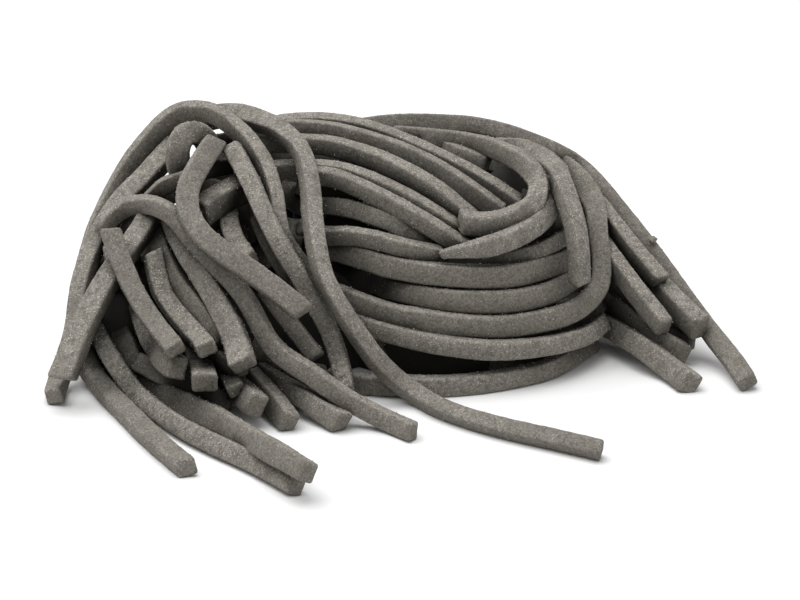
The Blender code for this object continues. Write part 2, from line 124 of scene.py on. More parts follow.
frontRoutes = {
    "thickFront": {
        "roll": (15,), "size": (0.95, 1.15, 1.3), "flour": (0.7, 0.8),
        "route": ((168, 214, 8), (176, 233, 5), (185, 250, 2), (197, 268, -1), (210, 288, -3),
            (221, 308, -5), (231, 328, -7), (238, 347, -10), (243, 366, -15))},
    "darkFront": {
        "roll": (20,), "flour": (0.1, 0.5),
        "route": ((156, 228, 8), (165, 258, 3), (178, 283, 0), (196, 305, -3), (222, 345, -8))},
    "brightEnd": {
        "roll": (-15,), "size": (0.95, 1.05), "flour": (1, 0.8),
        "route": ((152, 252, 3), (156, 270, 1), (161, 290, -1), (172, 308, -3), (187, 326, -6),
            (198, 338, -9), (207, 349, -14))},
    "twinEnd": {
        "roll": (35,), "size": (0.95,), "flour": (0.1, 1),
        "route": ((186, 330, -3), (208, 349, -7), (226, 361, -10), (244, 370, -13))},
    "lowEnd": {
        "roll": (20,), "size": (1, 1.22), "flour": (0.5, 0.8),
        "route": ((138, 298, 12), (143, 317, 5), (150, 336, 1), (158, 350, -2), (166, 360, -7),
            (178, 368, -12.5))},
    "blockEnd": {
        "roll": (-10,), "size": (1.1, 1.3), "flour": (0.9, 0.9),
        "route": ((193, 340, -2), (197, 356, -5), (202, 371, -10), (205, 383, -15.5))},
    "dimEnd": {
        "size": (0.95,), "flour": (0.3, 0.3),
        "route": ((215, 350, -2), (228, 374, -9), (237, 391, -16))},
    "floorEnd": {
        "roll": (20,), "size": (1.28,), "flour": (0.3, 1),
        "route": ((226, 376, -6), (240, 391, -12), (257, 406, -18))},
    "underEnd": {
        "roll": (35,), "size": (1.1,), "flour": (0.1, 0.7),
        "route": ((250, 376, -6), (272, 400, -12), (290, 423, onTable))},
    "roundEnd": {
        "roll": (20,), "size": (1, 1.15), "flour": (0.4, 0.9),
        "route": ((258, 370, -6), (285, 387, -10), (306, 399, -13), (323, 411, -15),
            (343, 423, onTable))},
    "peekingEnd": {
        "roll": (10,), "size": (0.9,), "flour": (0.3, 0.6),
        "route": ((255, 345, -1), (280, 370, -6))},
    "darkEnd": {
        "roll": (10,), "size": (0.9,), "flour": (0.1, 0.5),
        "route": ((265, 290, 0), (296, 331, -6), (317, 358, -8))},
    "leftFoot": {
        "roll": (-35,), "size": (1.02,), "flour": (0.2, 0.9),
        "route": ((80, 345, 5), (88, 366, 1), (104, 389, -5), (126, 412, onTable),
            (150, 436, onTable), (170, 454, onTable), (187, 468, onTable))},
    "speckledFoot": {
        "roll": (6,), "size": (0.95, 0.97, 1.06), "flour": (0.9, 0.9),
        "route": ((88, 312, 12), (98, 333, 6), (108, 352, 0), (120, 371, -4), (133, 389, -6),
            (151, 406, onTable), (181, 427, onTable), (216, 445, onTable), (256, 463, onTable),
            (297, 486, onTable))},
    "smoothFoot": {
        "roll": (12,), "size": (0.95, 1.22, 1.2, 1.06), "flour": (0.1, 0.9),
        "route": ((116, 300, 17), (120, 327, 10.5), (128, 350, 2), (143, 378, -4), (165, 393, -7),
            (190, 405, -11), (215, 418, -17), (245, 436, -26), (277, 454, -35), (309, 473, -42))},
}

coilRoutes = {
    "top1": {
        "roll": (28, 42), "size": (0.86,), "flour": (0.3, 1),
        "route": ((258, 130, 28), (275, 125, 28), (300, 122, 27), (325, 122, 28), (350, 125, 28),
            (375, 131, 27), (400, 140, 25), (425, 151, 23), (450, 163, 22), (475, 176, 20),
            (500, 191, 18), (520, 204, 16))},
    "top2": {
        "roll": (8, 24), "flour": (0.1, 1),
        "route": ((285, 129, 23), (305, 129, 24), (330, 131, 24), (360, 138, 22), (380, 144, 21),
            (400, 151, 20), (420, 160, 18), (440, 171, 17), (460, 184, 15), (480, 198, 14),
            (500, 213, 13))},
    "top3": {
        "roll": (10, 46), "size": (0.98,), "flour": (0.3, 1),
        "leastOpen": (0.6, 0.55, 0, 0, 0, 0),
        "route": ((245, 146, 22), (265, 144, 20), (290, 143, 19), (310, 144, 19), (330, 146, 18),
            (360, 154, 17), (380, 161, 15), (400, 170, 13), (420, 181, 11), (440, 194, 10),
            (458, 209, 9), (476, 224, 9))},
    "top4": {
        "roll": (28, 30), "size": (0.9,), "flour": (0.3, 1),
        "leastOpen": (0.6, 0.55, 0, 0, 0, 0),
        "route": ((255, 176, 15), (275, 170, 14), (300, 169, 14), (330, 170, 13), (350, 174, 12),
            (370, 181, 11), (390, 190, 9), (410, 200, 8), (432, 213, 7), (455, 228, 7),
            (478, 242, 8))},
    "belowTop4": {
        "roll": (28, 32), "size": (0.9,), "flour": (0.3, 1),
        "route": ((300, 176, 12), (330, 177, 11), (350, 184, 10), (370, 193, 8), (390, 203, 7),
            (410, 214, 6), (430, 226, 5), (452, 240, 5), (470, 251, 6.5))},
    "top5": {
        "roll": (2, 4), "size": (0.98,), "flour": (0.25, 1),
        "route": ((305, 206, 12), (325, 206, 11), (350, 209, 10), (375, 217, 7), (400, 227, 6),
            (425, 240, 6), (450, 254, 7))},
    "top6": {
        "roll": (25,), "size": (0.9,), "flour": (0.6, 0.9),
        "route": ((305, 236, 9), (325, 236, 7), (350, 236, 5), (375, 240, 4), (405, 248, 3),
            (440, 255, 4))},
    "smallTop": {
        "roll": (14,), "size": (0.84,), "flour": (0.3, 0.6),
        "route": ((395, 133, 33), (420, 139.5, 30), (445, 148.5, 27), (470, 157.5, 25),
            (488, 164.5, 24))},
    "front7": {
        "roll": (14,), "size": (1.16, 1.22), "flour": (0.1, 1),
        "route": ((308, 246, 9), (330, 248, 7), (355, 255, 5), (390, 266, 3), (430, 273, 2),
            (470, 276, 2), (510, 275, 4), (545, 267, 8), (568, 258, 11), (588, 240, 17))},
    "front8": {
        "roll": (14,), "size": (1.16, 1.22), "flour": (0.1, 1),
        "route": ((366, 277.5, 14), (384, 285.5, 8), (400, 290.5, 3), (440, 298.5, 1),
            (480, 301.5, 1), (520, 299.5, 3), (550, 291.5, 6), (585, 270.5, 14))},
    "frontLoop": {
        "roll": (-5, 0, -10, -16, -16), "size": (1.15, 1.32, 1.1, 1.1, 1.13, 1.14, 1.14),
        "flour": (0.2, 0.9),
        "route": ((528, 150, 41), (552, 160, 36), (573, 175, 31), (588, 193, 25), (596, 212, 19),
            (598, 238, 14), (601, 262, 12.5), (599, 283, 11), (588, 300, 8), (568, 313, 5),
            (540, 321, 2), (505, 326, 0), (465, 325, -1), (425, 320.5, -1), (390, 314.5, 0),
            (354, 302, 1.5), (331, 292, 4))},
    "front9": {
        "roll": (16,), "flour": (0.9, 0.9),
        "route": ((326, 302, 5), (341, 312, 2), (362, 324, 0), (385, 332, -2), (415, 340, -3),
            (450, 346, -3), (490, 350, -3), (530, 348, -1), (565, 342, 2), (588, 334, 6),
            (603, 322, 10))},
    "dark10": {
        "roll": (10,), "size": (0.9,), "flour": (0.1, 0.4),
        "route": ((352, 334, 7), (375, 345, 5), (410, 354, 5), (450, 358, 5), (500, 361, 6),
            (560, 350, 11))},
    "tableLoop": {
        "roll": (20,), "size": (1.02,), "flour": (0.9, 0.9),
        "route": ((325, 376, onTable), (352, 383, onTable), (400, 385, onTable),
            (440, 386, onTable), (480, 383, onTable), (520, 376, onTable), (550, 368, onTable),
            (572, 356, onTable), (592, 342, onTable))},
    "hairpin": {
        "roll": (2, 4, 10, 24, 12, -24, -24), "size": (1.04, 1.02, 1.12, 1.12),
        "flour": (0.1, 0.4, 0.1, 0.5, 0.1, 0.9, 0.9, 0.9, 0.9, 0.9),
        "route": ((395, 135, 31), (430, 138, 30), (450, 140, 28), (470, 143, 26), (490, 147, 24),
            (505, 153.5, 21), (518, 159.5, 19), (530, 170, 16), (538, 181, 14), (538, 193, 12),
            (532, 205, 10), (520, 214, 8), (505, 221, 7), (490, 224, 6), (475, 224, 5),
            (460, 221, 5))},
    "underHairpin": {
        "roll": (-20,), "size": (1.06, 1.1, 1.08, 1, 0.4), "flour": (1, 0.9),
        "route": ((556, 184, 17), (552, 202, 13), (541, 219, 9), (524, 232, 6), (500, 243, 3),
            (475, 249, 1), (455, 252, 1), (440, 255, 2))},
    "wedge1": {
        "roll": (-15,), "size": (0.85,), "flour": (0.8, 0.8),
        "route": ((572, 212, 15), (548, 230, 11), (520, 244, 8), (490, 256, 7))},
    "wedge2": {
        "roll": (-15,), "size": (0.85,), "flour": (0.8, 0.8),
        "route": ((576, 230, 13), (552, 244, 10), (525, 254, 7), (485, 264, 6))},
}

rightRoutes = {
    "overCoil": {
        "roll": (28, 10, -20, -40, -45), "size": (0.5, 0.85, 1.08, 1.08, 1.04, 1),
        "flour": (0.2, 1, 0.5, 0.8, 0.9, 0.1),
        "route": ((466, 147, 44), (485, 145, 41.5), (505, 146, 34), (525, 150, 27),
            (541, 159, 22), (553, 170, 17), (561, 184, 13), (567, 200, 10), (573, 218, 8),
            (577, 238, 6), (579, 258, 5), (579, 283, 5))},
    "right3": {
        "roll": (45, 50), "size": (1.04,), "flour": (0.1, 1),
        "route": ((583, 190, 30), (600, 209, 23), (618, 232, 17.5), (637, 255, 14),
            (651, 271, 12), (661, 282, 11))},
    "right5": {
        "roll": (-4, -8), "size": (1, 0.98, 0.95, 1.06, 1.06), "flour": (0.15, 0.6),
        "route": ((330, 134, 40), (365, 127, 41), (400, 123, 42), (440, 123, 42), (470, 125, 41),
            (500, 131, 40), (525, 139, 38), (550, 149, 36), (575, 163, 33), (596, 182, 29),
            (619, 210, 25), (643, 241, 20), (667, 274, 16), (692, 308, 12), (714, 337, 8),
            (733, 361, 3), (748, 383, onTable))},
    "right1": {
        "roll": (48,), "size": (1.06,), "flour": (0.15, 1),
        "route": ((588, 226, 20), (602, 246, 16), (618, 268, 12), (634, 289, 9), (650, 309, 7),
            (665, 328, 5))},
    "right2": {
        "roll": (45,), "size": (1.2, 1.34), "flour": (0.1, 1),
        "route": ((623, 246, 20), (640, 265, 17), (655, 283, 14), (671, 300, 11), (686, 315, 8),
            (701, 329, 6))},
    "right8": {
        "roll": (20,), "size": (0.95,), "flour": (0.1, 0.4),
        "route": ((588, 256, 23), (606, 280, 19), (628, 304, 16), (650, 321, 13), (672, 333, 11),
            (693, 343, 9))},
    "right7": {
        "roll": (15,), "size": (0.95,), "flour": (0.2, 0.5),
        "route": ((578, 266, 23), (598, 290, 18), (622, 313, 14), (645, 331, 9), (668, 344, 5),
            (686, 353, onTable))},
    "right6": {
        "roll": (12,), "size": (1.12, 1.2), "flour": (0.5, 0.8),
        "route": ((560, 306, 19), (582, 316, 17), (605, 325, 13), (628, 338, 9), (650, 353, 4),
            (670, 368.5, onTable), (691, 384, onTable))},
}


# bare strands that close the shaded gaps behind the ones that are seen
shadedRoutes = {
    "behindHole": {"size": (1.3,), "route": (
        (448, 146, 38), (475, 155, 38), (500, 163, 37), (526, 173, 34))},
    "behindFront": {"size": (1.2,), "route": (
        (166, 236, 12), (176, 258, 8), (188, 282, 4.5), (202, 306, 1))},
    "besideWedge": {"route": (
        (296, 186, 14.5), (330, 191, 12.5), (362, 199, 10.5))},
    "behindWedge": {"size": (0.9,), "route": (
        (305, 217, 14), (335, 221, 12), (365, 228, 10), (395, 238, 8))},
    "besideLoop": {"size": (1.3,), "flour": (0, 0.3), "route": (
        (560, 170, 37), (576, 190, 32), (588, 212, 27), (594, 238, 22), (594, 262, 19))},
    "underLoop": {"route": (
        (510, 334, 5), (545, 330, 8), (578, 319, 12), (604, 302, 16))},
    "besideFoot": {"size": (1.1,), "route": (
        (98, 300, 15), (92, 325, 11), (90, 348, 7), (97, 368, 3))},
    "behindFoot": {"route": (
        (114, 280, 20), (106, 305, 18), (101, 330, 15), (102, 352, 11), (112, 376, 6))},
    "behindCross": {"size": (0.9,), "route": (
        (194, 186, 19), (215, 177, 19), (240, 168, 19))},
    "behindInner": {"size": (1.5,), "route": (
        (192, 246, 7), (203, 230, 9), (213, 212, 12), (226, 196, 15))},
    "behindPeak": {"size": (0.85,), "flour": (0, 0.2), "route": (
        (204, 142, 27), (222, 141, 27), (238, 137, 27), (254, 134, 27), (270, 141, 27))},
    "behindRight2": {"route": (
        (594, 214, 27), (608, 234, 24), (626, 256, 21), (644, 278, 18), (660, 300, 15))},
    "underRound": {"route": (
        (262, 376, -2), (290, 384, -5), (318, 396, -9), (345, 408, -12))},
    "behindEnds": {"size": (1.1,), "route": (
        (138, 362, -2), (165, 376, -6), (192, 387, -9), (214, 397, -11), (231, 404, -12))},
    "tableUnder2": {"route": (
        (160, 350, onTable), (240, 362, onTable), (325, 374, onTable))},
    "tableUnder1": {"route": (
        (150, 365, onTable), (220, 378, onTable), (290, 388, onTable), (335, 398, onTable))},
    "behindGap": {"size": (1.3,), "route": (
        (288, 165, 25), (290, 195, 21), (292, 225, 17), (297, 252, 13))},
    "behindTop": {"size": (1.1,), "route": (
        (215, 158, 25), (250, 151, 26), (275, 153, 25), (300, 157, 24), (330, 160, 22),
        (362, 166, 20), (400, 182, 17), (430, 199, 15))},
    "behindArch": {"size": (1.1,), "route": (
        (246, 142, 27), (250, 170, 22), (252, 200, 17), (257, 230, 12), (268, 262, 7))},
    "behindHook": {"route": (
        (226, 152, 26), (232, 180, 20), (240, 213, 14), (248, 245, 9))},
    "behindLeg": {"route": (
        (124, 205, 24), (110, 232, 18), (101, 258, 13), (94, 285, 9), (86, 320, 5), (74, 352, 2))},
    "behindKnee": {"size": (1.1,), "route": (
        (152, 196, 21), (136, 215, 17), (129, 240, 12), (130, 272, 9), (132, 292, 7))},
    "behindCrescent": {"size": (1.2,), "route": (
        (160, 198, 20), (175, 192, 19), (195, 188, 18), (215, 190, 18), (236, 196, 17))},
    "behindLimb": {"route": (
        (134, 186, 25), (148, 172, 25), (160, 156, 26), (168, 140, 27))},
    "behindRight": {"route": (
        (585, 240, 27), (604, 268, 23), (622, 295, 19), (640, 320, 15), (660, 340, 12))},
    "deepRight": {"route": (
        (580, 280, 26), (598, 300, 22), (616, 318, 18), (634, 334, 15))},
}

# how the routes settle against each other, moving only along the line of sight
settling = {
    "sampleStep": 2.0,
    "curveSteps": 12,
    "tableCentreHeight": 1.2,
    "contactGap": 2.3,
    "reachGap": 2.4,
    "orderReach": 4,          # samples either way that decide which strand is in front
    "steps": 260,
    "bendPull": 0.45,
    "routePull": 0.02,
    "contactPull": 0.05,
    "contactPush": 0.5,
    "crossingShare": 0.5,     # of contactGap: nearer than this in the picture is a crossing
}


def viewAxes():
    tilt = math.radians(picture["elevationDeg"])
    across = np.array([1.0, 0.0, 0.0])
    up = np.array([0.0, math.sin(tilt), math.cos(tilt)])
    forward = np.array([0.0, math.cos(tilt), -math.sin(tilt)])
    eye = np.array([0.0, 0.0, picture["aimHeight"]]) - picture["distance"] * forward
    return eye, across, up, forward


eye, across, up, forward = viewAxes()
shift = np.array(picture["footprintShift"])


def tracedPoint(mark):
    px, py, depth = mark
    ray = forward * picture["distance"]
    ray = ray + across * (px - picture["centrePx"][0]) * picture["mmPerPx"]
    ray = ray + up * (picture["centrePx"][1] - py) * picture["mmPerPx"]
    if depth is onTable:
        return eye + ray * (settling["tableCentreHeight"] - eye[2]) / ray[2]
    return eye + ray * (depth - eye[1]) / ray[1]


# even steps along a route
def evenRoute(points, step):
    lengths = np.linalg.norm(np.diff(points, axis=0), axis=1)
    along = np.concatenate([[0.0], np.cumsum(lengths)])
    count = max(3, int(round(along[-1] / step)) + 1)
    marks = np.linspace(0.0, along[-1], count)
    return np.stack([np.interp(marks, along, points[:, k]) for k in range(3)], axis=1)


# a curve through the marks that doesn't overshoot where they stand unevenly
def smoothRoute(points, step):
    points = np.asarray(points)
    padded = np.vstack([2 * points[0] - points[1], points, 2 * points[-1] - points[-2]])
    fine = []
    for i in range(1, len(padded) - 2):
        p0, p1, p2, p3 = padded[i - 1:i + 3]
        k0 = math.sqrt(np.linalg.norm(p1 - p0)) + 1e-9
        k1 = math.sqrt(np.linalg.norm(p2 - p1)) + 1e-9
        k2 = math.sqrt(np.linalg.norm(p3 - p2)) + 1e-9
        m1 = (p2 - p1) + k1 * ((p1 - p0) / k0 - (p2 - p0) / (k0 + k1))
        m2 = (p2 - p1) + k1 * ((p3 - p2) / k2 - (p3 - p1) / (k1 + k2))
        a = 2 * (p1 - p2) + m1 + m2
        b = -3 * (p1 - p2) - 2 * m1 - m2
        for s in np.linspace(0.0, 1.0, settling["curveSteps"], endpoint=False):
            fine.append(a * s ** 3 + b * s ** 2 + m1 * s + p1)
    fine.append(padded[-2])
    return evenRoute(np.array(fine), step)


# samples of two strands that lie close to each other in the picture
def contactPairs(flat, owner):
    first, second = [], []
    for i in range(len(flat) - 1):
        offset = flat[i + 1:] - flat[i]
        near = np.nonzero(np.sum(offset ** 2, axis=1) < settling["contactGap"] ** 2)[0] + i + 1
        near = near[owner[near] != owner[i]]
        first.extend([i] * len(near))
        second.extend(near.tolist())
    return np.array(first), np.array(second)


# 1 where the first of a pair passes in front, -1 where it passes behind
def contactOrder(first, second, owner, distance):
    order = np.zeros(len(first))
    groups = {}
    for k in range(len(first)):
        groups.setdefault((owner[first[k]], owner[second[k]]), []).append(k)
    for members in groups.values():
        members = np.array(members)
        lead = distance[second[members]] - distance[first[members]]
        apart = np.abs(first[members][:, None] - first[members][None, :])
        near = (apart <= settling["orderReach"]).astype(float)
        order[members] = np.where(near @ lead >= 0, 1.0, -1.0)
    return order


# where each sample would lie on a springy strand that bends evenly
def easeBend(values):
    if len(values) < 5:
        return values
    head = 2 * values[0] - values[1]
    tail = 2 * values[-1] - values[-2]
    ends = [2 * head - values[0], head], [tail, 2 * tail - values[-1]]
    padded = np.concatenate([ends[0], values, ends[1]])
    return (4 * (padded[1:-3] + padded[3:-1]) - padded[:-4] - padded[4:]) / 6


def settle(routes):
    points = np.vstack(routes)
    owner = np.concatenate([[i] * len(r) for i, r in enumerate(routes)])
    rays = points - eye
    distance = np.linalg.norm(rays, axis=1)
    rays = rays / distance[:, None]
    drawn = distance.copy()
    flat = rays[:, [0, 2]] / (rays @ forward)[:, None] * picture["distance"]
    flat[:, 1] /= math.cos(math.radians(picture["elevationDeg"]))
    toTable = (settling["tableCentreHeight"] - eye[2]) / rays[:, 2]
    first, second = contactPairs(flat, owner)
    order = contactOrder(first, second, owner, distance)
    apart = np.sum((flat[first] - flat[second]) ** 2, axis=1)
    need = np.sqrt(np.maximum(settling["contactGap"] ** 2 - apart, 0.0))
    crossing = apart < (settling["crossingShare"] * settling["contactGap"]) ** 2
    starts = np.cumsum([0] + [len(r) for r in routes])
    for _ in range(settling["steps"]):
        eased = distance.copy()
        for a, b in zip(starts[:-1], starts[1:]):
            eased[a:b] = easeBend(distance[a:b])
        distance = distance + settling["bendPull"] * (eased - distance)
        distance = distance + settling["routePull"] * (drawn - distance)
        short = need - (distance[second] - distance[first]) * order
        push = np.where(short > 0, settling["contactPush"] * short, 0.0)
        close = crossing & (short < 0) & (short > -settling["reachGap"])
        push = np.where(close, settling["contactPull"] * short, push) * order * 0.5  # half each
        active = (push != 0).astype(float)
        total, count = np.zeros(len(distance)), np.zeros(len(distance))
        np.add.at(total, first, -push)
        np.add.at(total, second, push)
        np.add.at(count, first, active)
        np.add.at(count, second, active)
        distance = distance + total / np.maximum(np.sqrt(count), 1.0)
        distance = np.minimum(distance, toTable)
    settled = eye + rays * distance[:, None]
    return [settled[a:b] for a, b in zip(starts[:-1], starts[1:])]


# the cut of the strands and of their ends
strandLook = {
    "width": 2.6,
    "thickness": 2.2,
    "cornerRadius": 0.32,
    "step": 0.75,
    "fineStep": 0.2,
    "sizeWander": 0.09,       # share of the width
    "sizeWanderLength": 13.0,
    "noiseApart": 7.3,        # between the noise of one strand and the next
    "thickApart": 9.1,        # and between that of a strand's width and its thickness
    "edgeRough": 0.06,
    "edgeRoughLength": 1.2,
    "endRounding": 0.5,
    "endDrawIn": 0.8,         # share of the rounding that the rim takes
    "capInset": 0.7,
    "endSteps": (0.0, 0.05, 0.14, 0.28, 0.5),
    "endTilt": 0.35,          # most rise of the cut across one half of the strand
    "endTiltReach": 2.5,
    "endFlour": 0.35,
    "seed": 2,
}


def sectionCorners(width, thickness, radius):
    ring, flour = [], []
    for k in range(4):
        middle = math.radians(45 + 90 * k)
        cornerX = math.copysign(width / 2 - radius, math.cos(middle))
        cornerY = math.copysign(thickness / 2 - radius, math.sin(middle))
        for turn in (-45, 0, 45):
            angle = middle + math.radians(turn)
            ring.append((cornerX + radius * math.cos(angle), cornerY + radius * math.sin(angle)))
            flour.append(abs(math.sin(angle)))  # 1 on a broad side, 0 on a narrow one
        after = math.radians(90 + 90 * k)
        ring.append((width / 2 * math.cos(after), thickness / 2 * math.sin(after)))
        flour.append(abs(math.sin(after)))
    return np.array(ring), np.array(flour)


def strandMarks(length):
    ends = np.array(strandLook["endSteps"])
    inner = length - 2 * ends[-1]
    count = max(3, int(round(inner / strandLook["step"])) + 1)
    middle = np.linspace(ends[-1], length - ends[-1], count)[1:-1]
    return np.concatenate([ends, middle, (length - ends)[::-1]])


def along(values, share):
    return np.interp(share, np.linspace(0.0, 1.0, len(values)), values)


def strandArrays(points, look, number):
    fine = smoothRoute(points, strandLook["fineStep"])
    gone = np.concatenate([[0.0], np.cumsum(np.linalg.norm(np.diff(fine, axis=0), axis=1))])
    marks = strandMarks(gone[-1])
    points = np.stack([np.interp(marks, gone, fine[:, k]) for k in range(3)], axis=1)
    tangents = np.stack([
        np.interp(marks, gone, np.gradient(fine[:, k])) for k in range(3)], axis=1)
    tangents /= np.linalg.norm(tangents, axis=1)[:, None]
    share = marks / gone[-1]
    roll = np.radians(along(look["roll"], share))
    size = along(look["size"], share)
    toEye = eye - points
    face = toEye - tangents * np.sum(toEye * tangents, axis=1)[:, None]
    face /= np.linalg.norm(face, axis=1)[:, None]
    side = np.cross(face, tangents)
    turnedSide = side * np.cos(roll)[:, None] + face * np.sin(roll)[:, None]
    turnedFace = face * np.cos(roll)[:, None] - side * np.sin(roll)[:, None]
    ring, broad = sectionCorners(
        strandLook["width"], strandLook["thickness"], strandLook["cornerRadius"])
    sides = len(ring)
    rng = np.random.default_rng((strandLook["seed"], number))
    tilts = rng.uniform(-strandLook["endTilt"], strandLook["endTilt"], (2, 2))
    toEnd = np.stack([marks, gone[-1] - marks])
    verts = np.zeros((len(points), sides, 3))
    for i, point in enumerate(points):
        spot = Vector((
            marks[i] / strandLook["sizeWanderLength"], number * strandLook["noiseApart"], 0.0))
        wide = 1.0 + strandLook["sizeWander"] * noise.noise(spot)
        spot.z = strandLook["thickApart"]
        thick = 1.0 + strandLook["sizeWander"] * noise.noise(spot)
        bare = max(0.0, strandLook["endRounding"] - min(toEnd[:, i]))  # how deep in the rounding
        drawIn = strandLook["endRounding"] - math.sqrt(strandLook["endRounding"] ** 2 - bare ** 2)
        across2d = ring * (wide * size[i], thick * size[i])
        reach = np.linalg.norm(across2d, axis=1)
        across2d = across2d * (1.0 - strandLook["endDrawIn"] * drawIn / reach)[:, None]
        verts[i] = point + np.outer(across2d[:, 0], turnedSide[i]) + np.outer(
            across2d[:, 1], turnedFace[i])
        for tilt, gap in zip(tilts, toEnd[:, i]):
            slant = max(0.0, 1.0 - gap / strandLook["endTiltReach"])
            verts[i] += np.outer(slant * across2d @ tilt, tangents[i])
    rough = strandLook["edgeRough"]
    scale = 1.0 / strandLook["edgeRoughLength"]
    for i in range(len(points)):
        for k in range(sides):
            out = verts[i, k] - points[i]
            amount = rough * noise.noise(Vector(verts[i, k] * scale)) / np.linalg.norm(out)
            verts[i, k] += out * amount
    verts[:, :, 2] = np.maximum(verts[:, :, 2], 0.0)
    onBroad = along(look["flour"][0::2], share)
    onNarrow = along(look["flour"][1::2], share)
    flour = (np.outer(onBroad, broad) + np.outer(onNarrow, 1.0 - broad)).ravel()
    faces = []
    last = len(points) - 1
    for i in range(last):
        for k in range(sides):
            a = i * sides + k
            b = i * sides + (k + 1) % sides
            faces.append((a, b, b + sides, a + sides))
    part = {"verts": verts.reshape(-1, 3), "faces": faces, "flour": flour,
            "leastOpen": np.repeat(along(look["leastOpen"], share), sides)}
    addCap(part, points[0], 0, sides, True)
    addCap(part, points[-1], last * sides, sides, False)
    return part


def addCap(part, centre, start, sides, flip):
    inner = len(part["verts"])
    rim = part["verts"][start:start + sides]
    middle = rim.mean(axis=0)
    inset = middle + (rim - middle) * strandLook["capInset"]
    part["verts"] = np.vstack([part["verts"], inset, middle[None, :]])
    part["flour"] = np.concatenate([part["flour"], np.full(sides + 1, strandLook["endFlour"])])
    part["leastOpen"] = np.concatenate([part["leastOpen"], np.zeros(sides + 1)])
    for k in range(sides):
        n = (k + 1) % sides
        outer = (start + k, start + n, inner + n, inner + k)
        fan = (inner + k, inner + n, inner + sides)
        part["faces"].append(outer[::-1] if flip else outer)
        part["faces"].append(fan[::-1] if flip else fan)


# how much of the room each point of the surface sees: flour falls where the sky is open,
# and the dough stays bare between the strands, where it is also darkened as painted shade
opennessLook = {
    "directions": 26,
    "reach": 14.0,
    "lift": 0.08,
    "leastFacing": 0.1,
    "skyFrom": 0.45,          # least upward part of a direction that flour falls from
    "smoothing": 2,
}


def spreadDirections(count):
    k = np.arange(count) + 0.5
    z = 1.0 - 2.0 * k / count
    turn = k * math.pi * (1.0 + math.sqrt(5.0))
    flat = np.sqrt(1.0 - z ** 2)
    return np.stack([flat * np.cos(turn), flat * np.sin(turn), z], axis=1)


def vertexNormals(part):
    normals = np.zeros_like(part["verts"])
    verts = part["verts"]
    for sides in (3, 4):
        faces = np.array([f for f in part["faces"] if len(f) == sides])
        if len(faces) == 0:
            continue
        turned = np.cross(verts[faces[:, 1]] - verts[faces[:, 0]],
                          verts[faces[:, -1]] - verts[faces[:, 0]])
        for k in range(sides):
            np.add.at(normals, faces[:, k], turned)
    return normals / (np.linalg.norm(normals, axis=1)[:, None] + 1e-12)


def easeAlongFaces(part, values):
    total, count = values.copy(), np.ones(len(values))
    faces = np.array([f for f in part["faces"] if len(f) == 4])
    for k in range(4):
        a, b = faces[:, k], faces[:, (k + 1) % 4]
        np.add.at(total, a, values[b])
        np.add.at(count, a, 1.0)
    return total / count


def measureOpenness(parts):
    look = opennessLook
    verts = np.vstack([part["verts"] for part in parts])
    faces, offset = [], 0
    for part in parts:
        faces.extend(tuple(v + offset for v in face) for face in part["faces"])
        offset += len(part["verts"])
    tree = BVHTree.FromPolygons(verts.tolist(), faces)
    directions = spreadDirections(look["directions"])
    rays = [Vector(d) for d in directions]
    skyward = directions[:, 2] > look["skyFrom"]
    fullSky = np.sum(directions[skyward, 2])
    for part in parts:
        normals = vertexNormals(part)
        facing = normals @ directions.T
        starts = part["verts"] + normals * look["lift"]
        openShare, skyShare = np.zeros(len(starts)), np.zeros(len(starts))
        for i, start in enumerate(starts):
            origin = Vector(start)
            for k in np.nonzero(facing[i] > look["leastFacing"])[0]:
                if tree.ray_cast(origin, rays[k], look["reach"])[0] is None:
                    openShare[i] += facing[i, k]
                    if skyward[k]:
                        skyShare[i] += facing[i, k]
        openShare /= np.sum(np.where(facing > look["leastFacing"], facing, 0.0), axis=1)
        skyShare /= fullSky
        for _ in range(look["smoothing"]):
            openShare = easeAlongFaces(part, openShare)
            skyShare = easeAlongFaces(part, skyShare)
        # open is the mask of the painted shade, and leastOpen holds some of it back
        part["open"], part["sky"] = np.maximum(openShare, part["leastOpen"]), skyShare


def meshPiece(name, parts, material, smooth=True):
    faces, offset = [], 0
    for part in parts:
        faces.extend(tuple(v + offset for v in face) for face in part["faces"])
        offset += len(part["verts"])
    verts = (np.vstack([part["verts"] for part in parts]) + shift) * mm
    mesh = bpy.data.meshes.new(name)
    mesh.from_pydata(verts.tolist(), [], faces)
    for key in ("flour", "open", "sky"):
        if key in parts[0]:
            values = np.concatenate([part[key] for part in parts]).astype(np.float32)
            mesh.attributes.new(key, "FLOAT", "POINT").data.foreach_set("value", values)
    if smooth:
        mesh.shade_smooth()
    mesh.validate()
    mesh.materials.append(material)
    piece = bpy.data.objects.new(name, mesh)
    bpy.context.scene.collection.objects.link(piece)
    print("piece", name, "triangles", sum(len(f) - 2 for f in faces))
    return piece


